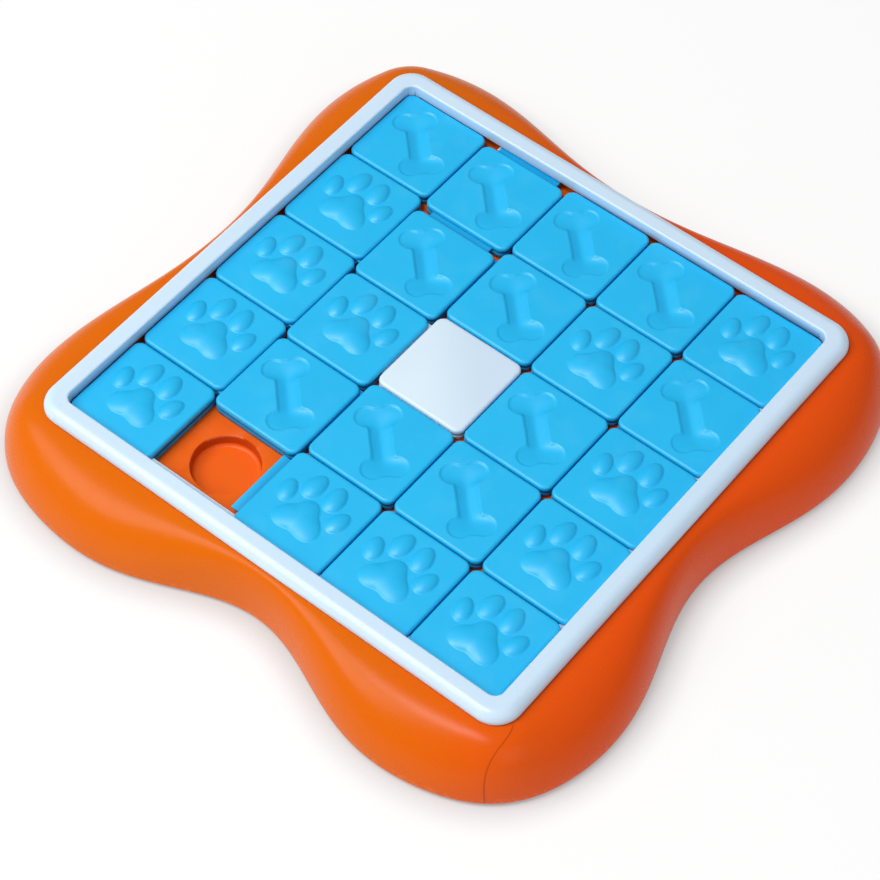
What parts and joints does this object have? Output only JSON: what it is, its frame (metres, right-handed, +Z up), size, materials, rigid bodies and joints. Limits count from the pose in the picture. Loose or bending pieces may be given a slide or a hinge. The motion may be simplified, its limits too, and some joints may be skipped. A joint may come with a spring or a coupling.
{
  "type": "dog puzzle feeder toy",
  "caption": "Sliding-tile treat puzzle for dogs: lobed base, framed tray of round treat cups, and interlocking paw and bone tiles that slide about an empty cell.",
  "frame": {"origin": "centre of the underside, where the feet meet the floor", "axes": "+Z up, +X along the tile columns a to e, +Y along the tile rows 1 to 5; the empty cell b1 is at the front left"},
  "size_m": [0.2641, 0.2646, 0.0304],
  "materials": {
    "shell": "satin moulded orange plastic",
    "tray": "satin moulded orange plastic, smooth cups",
    "frame": "smooth ice-white moulded plastic",
    "tile": "satin moulded sky-blue plastic",
    "plain_tile": "satin moulded white plastic",
    "screw": "zinc-plated pan heads",
    "foot": "matt black rubber"
  },
  "bodies": {
    "base": {"base_shell": "shell", "treat_tray": "tray", "retaining_frame": "frame", "frame_screws": "screw", "foot_front_left": "foot", "foot_front_right": "foot", "foot_back_left": "foot", "foot_back_right": "foot"},
    "tile_a1": {"paw_tile_a1": "tile"},
    "tile_c1": {"paw_tile_c1": "tile"},
    "tile_d1": {"paw_tile_d1": "tile"},
    "tile_e1": {"paw_tile_e1": "tile"},
    "tile_a2": {"paw_tile_a2": "tile"},
    "tile_b2": {"bone_tile_b2": "tile"},
    "tile_c2": {"bone_tile_c2": "tile"},
    "tile_d2": {"bone_tile_d2": "tile"},
    "tile_e2": {"paw_tile_e2": "tile"},
    "tile_a3": {"paw_tile_a3": "tile"},
    "tile_b3": {"paw_tile_b3": "tile"},
    "tile_c3": {"plain_tile_c3": "plain_tile"},
    "tile_d3": {"bone_tile_d3": "tile"},
    "tile_e3": {"paw_tile_e3": "tile"},
    "tile_a4": {"paw_tile_a4": "tile"},
    "tile_b4": {"bone_tile_b4": "tile"},
    "tile_c4": {"bone_tile_c4": "tile"},
    "tile_d4": {"paw_tile_d4": "tile"},
    "tile_e4": {"bone_tile_e4": "tile"},
    "tile_a5": {"bone_tile_a5": "tile"},
    "tile_b5": {"bone_tile_b5": "tile"},
    "tile_c5": {"bone_tile_c5": "tile"},
    "tile_d5": {"bone_tile_d5": "tile"},
    "tile_e5": {"paw_tile_e5": "tile"}
  },
  "joints": [
    {"name": "column_slide_b2", "type": "slide", "parent": "base", "child": "tile_b2", "axis": [0, -1, 0], "range_m": [-0.0029, 0.0353]},
    {"name": "column_slide_b3", "type": "slide", "parent": "base", "child": "tile_b3", "axis": [0, -1, 0], "range_m": [-0.0029, 0.0353]},
    {"name": "column_slide_b4", "type": "slide", "parent": "base", "child": "tile_b4", "axis": [0, -1, 0], "range_m": [-0.0029, 0.0353]},
    {"name": "column_slide_b5", "type": "slide", "parent": "base", "child": "tile_b5", "axis": [0, -1, 0], "range_m": [-0.0026, 0.0024]},
    {"name": "row_slide_c1", "type": "slide", "parent": "base", "child": "tile_c1", "axis": [1, 0, 0], "range_m": [0, 0.0011]},
    {"name": "row_slide_d1", "type": "slide", "parent": "base", "child": "tile_d1", "axis": [1, 0, 0], "range_m": [0, 0.0011]},
    {"name": "row_slide_e1", "type": "slide", "parent": "base", "child": "tile_e1", "axis": [1, 0, 0], "range_m": [0, 0.0011]},
    {"name": "play_a1", "type": "slide", "parent": "base", "child": "tile_a1", "axis": [1, 0, 0], "range_m": [-0.0002, 0.0002]},
    {"name": "play_a2", "type": "slide", "parent": "base", "child": "tile_a2", "axis": [1, 0, 0], "range_m": [-0.0002, 0.0002]},
    {"name": "play_c2", "type": "slide", "parent": "base", "child": "tile_c2", "axis": [1, 0, 0], "range_m": [-0.0002, 0.0002]},
    {"name": "play_d2", "type": "slide", "parent": "base", "child": "tile_d2", "axis": [1, 0, 0], "range_m": [-0.0002, 0.0002]},
    {"name": "play_e2", "type": "slide", "parent": "base", "child": "tile_e2", "axis": [1, 0, 0], "range_m": [-0.0002, 0.0002]},
    {"name": "play_a3", "type": "slide", "parent": "base", "child": "tile_a3", "axis": [1, 0, 0], "range_m": [-0.0002, 0.0002]},
    {"name": "play_c3", "type": "slide", "parent": "base", "child": "tile_c3", "axis": [1, 0, 0], "range_m": [-0.0002, 0.0002]},
    {"name": "play_d3", "type": "slide", "parent": "base", "child": "tile_d3", "axis": [1, 0, 0], "range_m": [-0.0002, 0.0002]},
    {"name": "play_e3", "type": "slide", "parent": "base", "child": "tile_e3", "axis": [1, 0, 0], "range_m": [-0.0002, 0.0002]},
    {"name": "play_a4", "type": "slide", "parent": "base", "child": "tile_a4", "axis": [1, 0, 0], "range_m": [-0.0002, 0.0002]},
    {"name": "play_c4", "type": "slide", "parent": "base", "child": "tile_c4", "axis": [1, 0, 0], "range_m": [-0.0002, 0.0002]},
    {"name": "play_d4", "type": "slide", "parent": "base", "child": "tile_d4", "axis": [1, 0, 0], "range_m": [-0.0002, 0.0002]},
    {"name": "play_e4", "type": "slide", "parent": "base", "child": "tile_e4", "axis": [1, 0, 0], "range_m": [-0.0002, 0.0002]},
    {"name": "play_a5", "type": "slide", "parent": "base", "child": "tile_a5", "axis": [1, 0, 0], "range_m": [-0.0002, 0.0002]},
    {"name": "play_c5", "type": "slide", "parent": "base", "child": "tile_c5", "axis": [1, 0, 0], "range_m": [-0.0002, 0.0002]},
    {"name": "play_d5", "type": "slide", "parent": "base", "child": "tile_d5", "axis": [1, 0, 0], "range_m": [-0.0002, 0.0002]},
    {"name": "play_e5", "type": "slide", "parent": "base", "child": "tile_e5", "axis": [1, 0, 0], "range_m": [-0.0002, 0.0002]}
  ],
  "couplings": [
    {"joint": "column_slide_b3", "follows": "column_slide_b2", "ratio": 1},
    {"joint": "column_slide_b4", "follows": "column_slide_b2", "ratio": 1},
    {"joint": "row_slide_d1", "follows": "row_slide_c1", "ratio": 1},
    {"joint": "row_slide_e1", "follows": "row_slide_c1", "ratio": 1}
  ]
}
